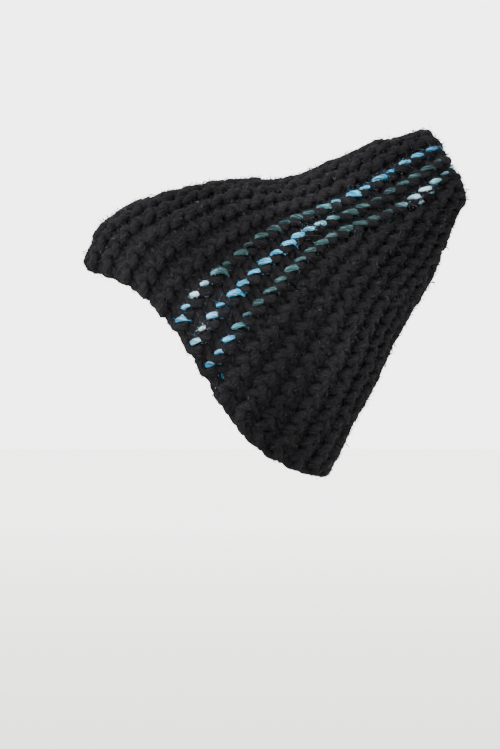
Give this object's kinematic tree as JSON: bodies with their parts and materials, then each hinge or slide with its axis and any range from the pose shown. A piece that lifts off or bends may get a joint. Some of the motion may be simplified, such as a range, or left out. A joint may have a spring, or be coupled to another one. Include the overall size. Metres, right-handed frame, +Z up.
{
  "type": "pixie hood",
  "caption": "Hand-knitted pixie hood in chunky garter ridges that run from a curved open rim to a soft drawn-in peak behind the crown.",
  "frame": {"origin": "where the inside of the crown bears on the top of the head, on the hood's centre plane", "axes": "+Z up as worn, -Y to the wearer's front, +X to the wearer's left, and the peak points to +Y and up"},
  "size_m": [0.1656, 0.2748, 0.2497],
  "materials": {
    "black_yarn": "matte",
    "slub_yarn": "matte"
  },
  "bodies": {
    "root": {"hood_fabric": "black_yarn", "slub_stripe_front": "slub_yarn", "slub_stripe_middle": "slub_yarn", "slub_stripe_back": "slub_yarn", "black_course_front": "black_yarn", "black_course_back": "black_yarn", "peak_gather": "black_yarn"}
  },
  "joints": []
}
